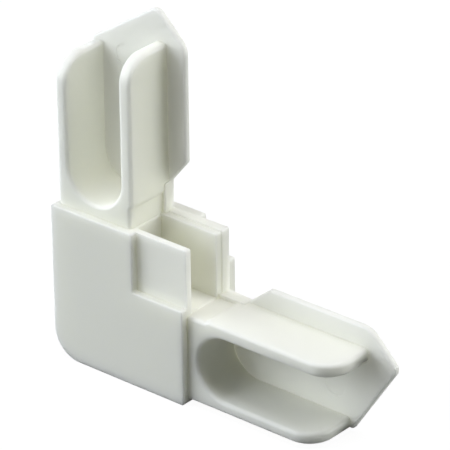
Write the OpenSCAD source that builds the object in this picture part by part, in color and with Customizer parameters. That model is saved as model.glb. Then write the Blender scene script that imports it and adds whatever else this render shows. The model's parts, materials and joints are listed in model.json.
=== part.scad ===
// Frame corner connector, one moulded piece of rigid plastic.
// A square corner block carries two equal U-channel legs at a right angle.
// Each leg plugs into the hollow end of one frame profile until the profile meets the block.
// Millimetres. The connector stands on the block's foot, one leg along +X and one along +Z.
// Y runs from the front face at -Y, where the channels open, to the back face at +Y.

/* [Corner block] */
// Width and height of the block across its front face
block_size = 36; // [34:0.1:42]
// Thickness of the block from front face to back face
block_depth = 17.5; // [16.6:0.1:20]
// Radius of the block's outer corner
corner_radius = 6.8; // [2:0.1:12]
// Width of the two arms of the raised L on the front face
front_arm = 22.4; // [21.6:0.1:30]
// Width of the two arms of the raised L on the back face
back_arm = 28.2; // [24:0.1:33]
// Step from the front face back to the fronts of the legs
front_step = 1.65; // [0.8:0.05:2.4]
// Radius of the small corners of the raised faces
soft_corner = 0.45; // [0.2:0.05:0.8]

/* [Gusset pocket] */
// Distance from the block's outer faces to the pocket's walls
pocket_wall = 21.1; // [20.5:0.05:21.3]
// Thickness of the plate that closes the pocket at the front
front_plate = 1.65; // [1.2:0.05:2.4]
// Clear depth of the pocket between its front and back plates
pocket_gap = 8; // [5:0.05:8.5]
// Thickness of the pad that forms the pocket's back
pad = 1.6; // [1:0.05:2]
// Thickness of the backing plate behind the pad
backing = 2.4; // [2:0.05:3.2]
// How far the backing plate's edge stands past the pad
backing_lip = 0.35; // [0.2:0.05:1]

/* [Legs] */
// Inset of each leg's outer side from the block's outer face
leg_inset = 0.95; // [0.3:0.05:1.6]
// Distance from the block's outer face to the leg's inner side
leg_inner_side = 21.4; // [21.35:0.05:21.8]
// Wall thickness of the outer flange
outer_flange = 2.7; // [1.5:0.05:3.5]
// Wall thickness of the inner flange
inner_flange = 3.1; // [1.5:0.05:3.5]
// Thickness of the web that closes the channel at the back
web = 1.7; // [1.2:0.05:2.4]
// Distance from the block's outer corner to the low point of the channel's round end
channel_start = 38.6; // [37.5:0.1:42]
// Distance from the block's outer corner to the end of the outer flange
outer_flange_end = 69.9; // [66:0.1:70]
// Distance from the block's outer corner to the end of the inner flange
inner_flange_end = 74.5; // [70:0.1:76]
// Radius of the rounded noses at the flange ends
nose_radius = 6; // [3:0.05:8]
// Diameter of the round pin mark on each web
pin_mark = 5; // [3:0.1:6]
// Depth of the round pin mark
pin_mark_depth = 0.12; // [0.05:0.01:0.3]
// Distance from the block's outer face to the centres of the pin marks
pin_mark_side = 9.9; // [8:0.1:14]
// Height of the upright leg's pin mark above the block's foot
pin_mark_upright = 68.6; // [55:0.1:70]
// Distance from the block's left face to the flat leg's pin mark
pin_mark_flat = 65.9; // [55:0.1:70]

/* [Leg root] */
// Thickness of the thick stretch of web at the leg's root
root_web = 3.3; // [2:0.05:3.6]
// Depth of the shallow relief at the inner side of each leg's root
relief_depth = 0.55; // [0.2:0.05:0.8]
// Length of the relief along the leg
relief_length = 4.5; // [3:0.1:5]
// Length of the slope that ends the relief
relief_slope = 0.6; // [0.2:0.05:1]

/* [Ears] */
// Distance from the block's outer face to the straight edge of the ear
ear_edge = 26.1; // [23.5:0.1:28]
// Distance from the block's outer corner to the start of the ear's first slope
ear_start = 43; // [41.2:0.1:44]
// Distance from the block's outer corner to the start of the ear's straight edge
ear_full = 48.4; // [46:0.05:52]
// Distance from the block's outer corner to the end of the ear's straight edge
ear_end = 74.6; // [70:0.1:75.5]
// Distance from the block's outer corner to the tip of the leg, the part's overall length
tip = 81.4; // [78:0.1:90]
// Distance from the block's outer face to the inner end of the tip's flat
tip_at = 19.1; // [16:0.1:20]
// Width of the flat at the tip
tip_flat = 1.4; // [1:0.1:3]
// Distance from the block's outer corner to the start of the web's outer slope
outer_slope = 70.5; // [66:0.1:72]
// Radius where the slopes meet the straight edges
ear_corner = 1; // [0.4:0.1:3]
// Radius of the ear's shoulder, where its straight edge turns towards the tip
ear_shoulder = 5; // [1:0.1:8]
// Radius of the corner between the tip's flat and the ear's slope
tip_corner = 1.2; // [0.2:0.05:1.3]
// Radius of the corner between the tip's flat and the outer slope
tip_outer_corner = 1.15; // [0.2:0.05:1.3]

/* [Hidden] */
$fn = 72;
// overlap that joins touching pieces
weld = 0.5;
// room past a face when cutting
past = 1;
leg_front = front_step;
pocket_front = front_step + front_plate;
pocket_back = pocket_front + pocket_gap;
backing_front = pocket_back + pad;
backing_back = backing_front + backing;
web_front = backing_back - web;
root_front = backing_back - root_web;
channel_low = leg_inset + outer_flange;
channel_high = leg_inner_side - inner_flange;
channel_mid = (channel_low + channel_high) / 2;
channel_radius = (channel_high - channel_low) / 2;
channel_centre = channel_start + channel_radius;
root_edge = leg_inner_side + 0.3;
plastic = [0.93, 0.93, 0.89];

corner_connector();

// Extrudes a front-view outline along Y from y0 to y1.
module across(y0, y1) {
    translate([0, y1, 0])
        rotate([90, 0, 0])
            linear_extrude(height = y1 - y0)
                children();
}

// Extrudes a side-view outline (Y, Z) along X from x0 to x1.
module along_x(x0, x1) {
    translate([x0, 0, 0])
        rotate([90, 0, 90])
            linear_extrude(height = x1 - x0)
                children();
}

// Direction of a vector.
function unit(v) = v / norm(v);

// Directions from corner i of an outline to the corners before and after it.
function to_last(p, i) = unit(p[(i + len(p) - 1) % len(p)] - p[i]);
function to_next(p, i) = unit(p[(i + 1) % len(p)] - p[i]);

// Half of the angle between the two sides that meet at corner i.
function half_angle(p, i) = acos(to_last(p, i) * to_next(p, i)) / 2;

// Points where an arc of radius r leaves the two sides at corner i.
function leave(p, i, r) = p[i] + to_last(p, i) * r / tan(half_angle(p, i));
function rejoin(p, i, r) = p[i] + to_next(p, i) * r / tan(half_angle(p, i));

// Centre of that arc.
function arc_centre(p, i, r) = p[i] + unit(to_last(p, i) + to_next(p, i)) * r / sin(half_angle(p, i));

// True where an outline listed anticlockwise bends outward at corner i.
function outward(p, i) = cross(to_last(p, i), to_next(p, i)) < 0;

// Outline p with corner i rounded to radius r[i]; zero leaves the corner sharp.
module soft_outline(p, r) {
    difference() {
        union() {
            polygon([for (i = [0:len(p) - 1]) each (r[i] > 0 ? [leave(p, i, r[i]), rejoin(p, i, r[i])] : [p[i]])]);
            for (i = [0:len(p) - 1])
                if (r[i] > 0 && outward(p, i))
                    translate(arc_centre(p, i, r[i])) circle(r = r[i]);
        }
        for (i = [0:len(p) - 1])
            if (r[i] > 0 && !outward(p, i))
                translate(arc_centre(p, i, r[i])) circle(r = r[i]);
    }
}

// L-shaped outline of the block with arms of the given width.
module l_outline(arm) {
    c = soft_corner;
    soft_outline(
        [[0, 0], [block_size, 0], [block_size, arm], [arm, arm], [arm, block_size], [0, block_size]],
        [corner_radius, c, c, c, c, c]
    );
}

// Outline of the inner corner plates, from the pocket's walls out to the given edge.
module gusset_outline(edge) {
    c = soft_corner;
    b = pocket_wall - weld;
    soft_outline([[b, b], [edge, b], [edge, edge], [b, edge]], [0, 0, c, 0]);
}

// Block with the open pocket in its inner corner.
module block() {
    across(0, front_step + weld) l_outline(front_arm);
    across(front_step, backing_back) l_outline(pocket_wall);
    across(backing_back - weld, block_depth) l_outline(back_arm);
    across(front_step, pocket_front) gusset_outline(block_size);
    across(pocket_back, backing_front + weld) gusset_outline(block_size);
    across(backing_front, backing_back) gusset_outline(block_size + backing_lip);
}

// Front-view outline of the upright leg's web, with its ear and arrow-shaped end.
module web_outline() {
    low = block_size - weld;
    e = ear_corner;
    soft_outline(
        [
            [leg_inset, low],
            [root_edge, low],
            [root_edge, ear_start],
            [ear_edge, ear_full],
            [ear_edge, ear_end],
            [tip_at, tip],
            [tip_at - tip_flat, tip],
            [leg_inset, outer_slope]
        ],
        [0, 0, 0, e, ear_shoulder, tip_corner, tip_outer_corner, e]
    );
}

// Side-view outline of a flange that ends at height z with a rounded nose at its front.
module flange_side(z) {
    low = block_size - weld;
    r = nose_radius;
    soft_outline(
        [[leg_front, low], [web_front + weld, low], [web_front + weld, z], [leg_front, z]],
        [0, 0, 0, r]
    );
}

// Round-ended channel of the upright leg, open at the free end and at the front.
module channel_cut() {
    across(leg_front - past, web_front)
        union() {
            translate([channel_mid, channel_centre]) circle(r = channel_radius);
            translate([channel_low, channel_centre]) square([2 * channel_radius, tip - channel_centre + past]);
        }
}

// Shallow relief at the root, on the side that faces the other leg.
module relief_cut() {
    top = block_size + relief_length;
    deep = leg_inner_side - relief_depth;
    out = root_edge + past;
    across(leg_front - past, root_front)
        polygon([
            [deep, block_size - past],
            [out, block_size - past],
            [out, top + relief_slope],
            [leg_inner_side, top + relief_slope],
            [deep, top]
        ]);
}

// Upright leg with its pin mark centred at height mark.
module leg(mark) {
    difference() {
        union() {
            across(web_front, backing_back) web_outline();
            along_x(leg_inset, channel_mid) flange_side(outer_flange_end);
            along_x(channel_mid, leg_inner_side) flange_side(inner_flange_end);
            across(root_front, backing_back)
                translate([leg_inset, block_size - weld])
                    square([root_edge - leg_inset, ear_start - block_size + weld]);
        }
        channel_cut();
        relief_cut();
        translate([pin_mark_side, web_front + pin_mark_depth, mark])
            rotate([90, 0, 0])
                cylinder(h = past, d = pin_mark);
    }
}

// The whole connector, centred over the origin in X and Y with its foot at Z 0.
module corner_connector() {
    color(plastic)
        translate([-tip / 2, -block_depth / 2, 0])
            union() {
                block();
                leg(pin_mark_upright);
                mirror([1, 0, -1]) leg(pin_mark_flat);
            }
}
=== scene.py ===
"""Looks of the frame corner connector: soft-edged plastic, studio light, floor and camera."""

import json
import math

import bmesh
import bpy
from mathutils import Matrix, Vector

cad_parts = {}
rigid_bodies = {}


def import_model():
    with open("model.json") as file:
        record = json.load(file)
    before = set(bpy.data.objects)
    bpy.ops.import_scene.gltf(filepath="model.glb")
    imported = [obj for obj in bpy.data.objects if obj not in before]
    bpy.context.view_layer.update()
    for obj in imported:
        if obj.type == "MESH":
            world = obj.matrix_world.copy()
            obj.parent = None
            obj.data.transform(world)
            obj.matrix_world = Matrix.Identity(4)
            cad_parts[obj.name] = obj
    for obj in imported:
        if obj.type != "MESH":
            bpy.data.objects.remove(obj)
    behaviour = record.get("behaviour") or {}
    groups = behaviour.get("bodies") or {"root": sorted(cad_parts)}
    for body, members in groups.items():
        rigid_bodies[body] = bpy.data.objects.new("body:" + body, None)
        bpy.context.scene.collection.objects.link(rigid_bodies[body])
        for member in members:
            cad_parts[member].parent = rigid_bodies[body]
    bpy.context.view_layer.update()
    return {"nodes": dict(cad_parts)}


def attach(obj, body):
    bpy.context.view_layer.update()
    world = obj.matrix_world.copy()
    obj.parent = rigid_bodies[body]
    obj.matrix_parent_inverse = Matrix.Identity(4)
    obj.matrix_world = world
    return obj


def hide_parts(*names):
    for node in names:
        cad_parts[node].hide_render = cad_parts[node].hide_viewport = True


MM = 0.001
WHITE = (1, 1, 1, 1)

# Soft edges
EDGE_RADIUS = 0.85 * MM
EDGE_SEGMENTS = 4
# Turn between two faces from which the edge between them is sharp
SHARP_FROM = math.radians(30)
# Turn below which two faces belong to one flat area
FLAT_BELOW = math.radians(0.6)
# Turn below which two faces are joined into one
JOIN_BELOW = math.radians(0.4)
# Turn below which two edges run on into each other, and turn below which they are straight
SMOOTH_TURN = math.radians(28)
STRAIGHT_TURN = 0.001
# Distance below which two points are one
TOUCHING = 0.001 * MM
# Places along an edge where the room beside it is measured
ROOM_AT = (0.2, 0.5, 0.8)
# Share of the room that a rounding takes: towards an outer edge, towards a hollow edge, inside a bend
SHARE_OF_STRIP = 0.42
SHARE_OF_LEDGE = 0.8
SHARE_OF_ARC = 0.65
# Length over which a rounding narrows towards an end that lacks the room
TAPER = 1.2 * MM
# Width up to which a ledge leaves the rounding as it is
NARROW_LEDGE = 0.1 * MM

# Plastic
OFF_WHITE = (0.88, 0.88, 0.80, 1)
ROUGHNESS = 0.42
IOR = 1.49
SPECULAR_LEVEL = 0.3
# Depth to which light soaks into the plastic, the same for red, green and blue
SOAK_DEPTH = 3.5 * MM
SOAK_RADIUS = (1.0, 1.0, 1.0)
# Fine uneven sheen: noise cells per metre, their detail, and the share and height of the bumps
GRAIN_SCALE = 900
GRAIN_DETAIL = 3
GRAIN_STRENGTH = 0.05
GRAIN_HEIGHT = 0.05 * MM

# Floor: half of its width, and the grey that it is to the light on the part
FLOOR_HALF = 1.5
PAPER_SHADE = 0.15
# White glow that the camera sees, and the grey that adds the shadow to it
SHOWN_GLOW = 0.95
SHOWN_SHADE = 0.08

# Lamps: the point that they face, their distance from it and their width
SOFTBOX_AIM = Vector((0, 0, 0.03))
SOFTBOX_DISTANCE = 1.0
SOFTBOX_SIZE = 0.5

# Camera: direction from the part in degrees, tilt of the picture, point in its middle and distance from it
CAMERA_AZIMUTH = math.radians(40.269)
CAMERA_ELEVATION = math.radians(27.647)
CAMERA_ROLL = math.radians(-0.679)
CAMERA_TARGET = Vector((1.462, -1.75, 42.045)) * MM
CAMERA_DISTANCE = 809.2 * MM
# Focal length in pixels of the photograph, the photograph's width in pixels and the sensor's in millimetres
FOCAL_PIXELS = 3949.8
PHOTO_PIXELS = 450
SENSOR_WIDTH = 36
NEAREST = 0.01
FARTHEST = 10

for old in list(bpy.data.objects):
    bpy.data.objects.remove(old, do_unlink=True)

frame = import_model()
node = frame["nodes"]["corner_connector"]


def add_object(name, data):
    """A new object in the scene with the given mesh, lamp or camera."""
    obj = bpy.data.objects.new(name, data)
    bpy.context.scene.collection.objects.link(obj)
    return obj


def flat_rims(bm):
    """For each face, the edges around the whole flat area that it belongs to."""
    rims = {}
    for first in bm.faces:
        if first in rims:
            continue
        rim, area, todo = [], {first}, [first]
        while todo:
            for edge in todo.pop().edges:
                if edge.calc_face_angle(0) >= FLAT_BELOW:
                    rim.append(edge)
                    continue
                for face in edge.link_faces:
                    if face not in area:
                        area.add(face)
                        todo.append(face)
        for face in area:
            rims[face] = rim
    return rims


def room_across(face, edge, rim, convex):
    """Room for a rounding on the face: a share of the way from the edge to the nearest rim opposite."""
    loop = next(x for x in face.loops if x.edge == edge)
    first, last = loop.vert.co, loop.link_loop_next.vert.co
    along = (last - first).normalized()
    inward = face.normal.cross(along)
    best = EDGE_RADIUS
    for part in ROOM_AT:
        start = first.lerp(last, part)
        for other in rim:
            if other == edge:
                continue
            one_end, other_end = (v.co - start for v in other.verts)
            one_along, other_along = one_end.dot(along), other_end.dot(along)
            if (one_along > 0) == (other_along > 0):
                continue
            cut = one_along / (one_along - other_along)
            way = one_end.dot(inward) * (1 - cut) + other_end.dot(inward) * cut
            if way > TOUCHING:
                best = min(best, way * (SHARE_OF_STRIP if other in convex else SHARE_OF_LEDGE))
    return best


def smooth_joints(bm, convex):
    """Pairs of convex edges that run on into each other, with the room that their bend leaves."""
    joints = []
    for vert in bm.verts:
        edges = [e for e in vert.link_edges if e in convex]
        for i, one in enumerate(edges):
            for other in edges[:i]:
                before = vert.co - one.other_vert(vert).co
                after = other.other_vert(vert).co - vert.co
                bend = before.angle(after)
                if bend > SMOOTH_TURN:
                    continue
                room = EDGE_RADIUS
                for face in set(one.link_faces) & set(other.link_faces):
                    loop = next(x for x in face.loops if x.vert == vert)
                    inward = face.normal.cross(loop.link_loop_next.vert.co - vert.co)
                    if bend > STRAIGHT_TURN and (after - before).dot(inward) > 0:
                        room = SHARE_OF_ARC * min(before.length, after.length) / bend
                joints.append((one, other, room))
    return joints


def edge_rooms(bm, convex):
    """Width of rounding for each convex edge, the same all along a smooth run of edges."""
    rims = flat_rims(bm)
    room = {e: min(room_across(f, e, rims[f], convex) for f in e.link_faces) for e in convex}
    joints = smooth_joints(bm, convex)
    settled = False
    while not settled:
        settled = True
        for one, other, bend_room in joints:
            low = min(room[one], room[other], bend_room)
            if low < max(room[one], room[other]):
                room[one] = room[other] = low
                settled = False
    return room


def room_at_end(edge, vert, convex, sharp):
    """Room for a rounding at one end of an edge: what the hollow edges that start there leave of each face."""
    best = EDGE_RADIUS
    for face in edge.link_faces:
        loop = next(x for x in face.loops if x.vert == vert)
        beside = loop.edge if loop.edge != edge else loop.link_loop_prev.edge
        if beside in convex or beside not in sharp:
            continue
        along = (edge.other_vert(vert).co - vert.co).normalized()
        reach = beside.other_vert(vert).co - vert.co
        away = (reach - along * reach.dot(along)).length
        if away > NARROW_LEDGE:
            best = min(best, away * SHARE_OF_LEDGE)
    return best


def weigh_edges(bm, convex, sharp, weight):
    """Give every convex edge its width of rounding, tapered towards an end that lacks the room."""
    for edge, room in edge_rooms(bm, convex).items():
        edge[weight] = room / EDGE_RADIUS
        for vert in list(edge.verts):
            end_room = room_at_end(edge, vert, convex, sharp)
            if end_room < room and edge.calc_length() > 2 * TAPER:
                parts = {edge, bmesh.utils.edge_split(edge, vert, TAPER / edge.calc_length())[0]}
                short = next(x for x in parts if vert in x.verts)
                long = next(x for x in parts if x != short)
                long[weight] = room / EDGE_RADIUS
                short[weight] = end_room / EDGE_RADIUS
                edge = long


def soften(obj):
    """Round the weighted edges and keep the flat faces flat between them."""
    bevel = obj.modifiers.new("soft edges", "BEVEL")
    bevel.limit_method = "WEIGHT"
    bevel.width = EDGE_RADIUS
    bevel.segments = EDGE_SEGMENTS
    bevel.use_clamp_overlap = False
    bevel.loop_slide = False
    bevel.miter_outer = "MITER_SHARP"
    shading = obj.modifiers.new("flat faces stay flat", "WEIGHTED_NORMAL")
    shading.keep_sharp = True


def soft_copy(source, name):
    """A copy of a CAD node with its flat faces joined up and every outer edge rounded."""
    bm = bmesh.new()
    bm.from_mesh(source.data)
    bmesh.ops.remove_doubles(bm, verts=bm.verts, dist=TOUCHING)
    bmesh.ops.dissolve_limit(bm, angle_limit=JOIN_BELOW, verts=bm.verts, edges=bm.edges)
    bm.normal_update()
    weight = bm.edges.layers.float.new("bevel_weight_edge")
    sharp = [e for e in bm.edges if e.calc_face_angle(0) >= SHARP_FROM]
    convex = {e for e in sharp if e.calc_face_angle_signed() > 0}
    for face in bm.faces:
        face.smooth = True
    for edge in sharp:
        edge.smooth = edge in convex
    weigh_edges(bm, convex, sharp, weight)
    mesh = bpy.data.meshes.new(name)
    bm.to_mesh(mesh)
    bm.free()
    obj = add_object(name, mesh)
    soften(obj)
    return obj


def empty_tree(owner):
    """The node tree of a material or world, with nothing in it yet."""
    owner.use_nodes = True
    owner.node_tree.nodes.clear()
    return owner.node_tree


def plastic(name):
    """Off-white moulded plastic, satin, with a faint uneven sheen."""
    mat = bpy.data.materials.new(name)
    tree = empty_tree(mat)
    out = tree.nodes.new("ShaderNodeOutputMaterial")
    body = tree.nodes.new("ShaderNodeBsdfPrincipled")
    body.inputs["Base Color"].default_value = OFF_WHITE
    body.inputs["Roughness"].default_value = ROUGHNESS
    body.inputs["IOR"].default_value = IOR
    body.inputs["Specular IOR Level"].default_value = SPECULAR_LEVEL
    body.inputs["Subsurface Weight"].default_value = 1
    body.inputs["Subsurface Radius"].default_value = SOAK_RADIUS
    body.inputs["Subsurface Scale"].default_value = SOAK_DEPTH
    place = tree.nodes.new("ShaderNodeTexCoord")
    grain = tree.nodes.new("ShaderNodeTexNoise")
    grain.inputs["Scale"].default_value = GRAIN_SCALE
    grain.inputs["Detail"].default_value = GRAIN_DETAIL
    tree.links.new(place.outputs["Object"], grain.inputs["Vector"])
    bump = tree.nodes.new("ShaderNodeBump")
    bump.inputs["Strength"].default_value = GRAIN_STRENGTH
    bump.inputs["Distance"].default_value = GRAIN_HEIGHT
    tree.links.new(grain.outputs["Fac"], bump.inputs["Height"])
    tree.links.new(bump.outputs["Normal"], body.inputs["Normal"])
    tree.links.new(body.outputs["BSDF"], out.inputs["Surface"])
    return mat


def is_seen(tree):
    """1 for rays from the camera and for mirrored and see-through ones, which all see the white studio."""
    ray = tree.nodes.new("ShaderNodeLightPath")
    seen = ray.outputs["Is Camera Ray"]
    for kind in ("Is Glossy Ray", "Is Transmission Ray"):
        either = tree.nodes.new("ShaderNodeMath")
        either.operation = "MAXIMUM"
        tree.links.new(seen, either.inputs[0])
        tree.links.new(ray.outputs[kind], either.inputs[1])
        seen = either.outputs["Value"]
    return seen


def matt_grey(tree, shade):
    """A plain grey paper surface."""
    paper = tree.nodes.new("ShaderNodeBsdfDiffuse")
    paper.inputs["Color"].default_value = (shade, shade, shade, 1)
    return paper.outputs["BSDF"]


def floor_paper():
    """Paper that is seen as white with a faint shadow and that lights the part like a grey one."""
    mat = bpy.data.materials.new("floor_paper")
    tree = empty_tree(mat)
    out = tree.nodes.new("ShaderNodeOutputMaterial")
    glow = tree.nodes.new("ShaderNodeEmission")
    glow.inputs["Color"].default_value = WHITE
    glow.inputs["Strength"].default_value = SHOWN_GLOW
    shown = tree.nodes.new("ShaderNodeAddShader")
    tree.links.new(glow.outputs["Emission"], shown.inputs[0])
    tree.links.new(matt_grey(tree, SHOWN_SHADE), shown.inputs[1])
    mix = tree.nodes.new("ShaderNodeMixShader")
    tree.links.new(is_seen(tree), mix.inputs["Fac"])
    tree.links.new(matt_grey(tree, PAPER_SHADE), mix.inputs[1])
    tree.links.new(shown.outputs["Shader"], mix.inputs[2])
    tree.links.new(mix.outputs["Shader"], out.inputs["Surface"])
    return mat


def add_floor():
    """The paper that the part stands on."""
    mesh = bpy.data.meshes.new("floor")
    h = FLOOR_HALF
    mesh.from_pydata([(-h, -h, 0), (h, -h, 0), (h, h, 0), (-h, h, 0)], [], [(0, 1, 2, 3)])
    mesh.materials.append(floor_paper())
    add_object("floor", mesh)


def add_world():
    """Surroundings that are seen as white and give the part no light of their own."""
    world = bpy.data.worlds.new("studio")
    bpy.context.scene.world = world
    tree = empty_tree(world)
    out = tree.nodes.new("ShaderNodeOutputWorld")
    white = tree.nodes.new("ShaderNodeBackground")
    white.inputs["Color"].default_value = WHITE
    mix = tree.nodes.new("ShaderNodeMixShader")
    tree.links.new(is_seen(tree), mix.inputs["Fac"])
    tree.links.new(white.outputs["Background"], mix.inputs[2])
    tree.links.new(mix.outputs["Shader"], out.inputs["Surface"])


def direction(azimuth, elevation):
    """Unit vector away from the part; azimuth turns from the front towards +X."""
    level = math.cos(elevation)
    return Vector((math.sin(azimuth) * level, -math.cos(azimuth) * level, math.sin(elevation)))


def add_softbox(name, azimuth, elevation, power, tint):
    """A square lamp of so many watts that looks at the part from an azimuth and elevation in degrees."""
    light = bpy.data.lights.new(name, "AREA")
    light.size = SOFTBOX_SIZE
    light.energy = power
    light.color = tint
    obj = add_object(name, light)
    away = direction(math.radians(azimuth), math.radians(elevation))
    obj.location = SOFTBOX_AIM + away * SOFTBOX_DISTANCE
    obj.rotation_euler = away.to_track_quat("Z", "Y").to_euler()


def add_camera():
    """Camera at the photo's angle, set from lengths and angles read off the photo."""
    back = direction(CAMERA_AZIMUTH, CAMERA_ELEVATION)
    level = Vector((math.cos(CAMERA_AZIMUTH), math.sin(CAMERA_AZIMUTH), 0))
    over = back.cross(level)
    right = level * math.cos(CAMERA_ROLL) + over * math.sin(CAMERA_ROLL)
    up = over * math.cos(CAMERA_ROLL) - level * math.sin(CAMERA_ROLL)
    data = bpy.data.cameras.new("photo")
    data.sensor_width = SENSOR_WIDTH
    data.sensor_fit = "HORIZONTAL"
    data.lens = SENSOR_WIDTH * FOCAL_PIXELS / PHOTO_PIXELS
    data.clip_start = NEAREST
    data.clip_end = FARTHEST
    camera = add_object("photo", data)
    place = Matrix((right, up, back)).transposed().to_4x4()
    place.translation = CAMERA_TARGET + back * CAMERA_DISTANCE
    camera.matrix_world = place
    bpy.context.scene.camera = camera


soft = soft_copy(node, "connector_body")
soft.data.materials.append(plastic("white_plastic"))
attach(soft, "root")
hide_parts("corner_connector")

add_floor()
add_world()
add_softbox("top", 0, 90, 4.1, (0.96, 0.96, 1.0))
add_softbox("right", 120, 12, 3.4, (0.95, 1.0, 0.97))
add_softbox("top_right", 120, 55, 2.7, (1.0, 0.99, 1.0))
add_softbox("back_right", 150, 12, 2.9, (0.99, 1.0, 0.93))
add_softbox("left", 300, 12, 3.9, (0.92, 0.96, 1.0))
add_softbox("top_left", 300, 30, 2.5, (0.92, 0.96, 1.0))
add_softbox("front_left", 330, 12, 1.6, (0.88, 0.95, 1.0))
add_softbox("top_front_left", 330, 30, 2.4, (0.94, 0.98, 1.0))
add_camera()

bpy.context.scene.view_settings.view_transform = "Standard"
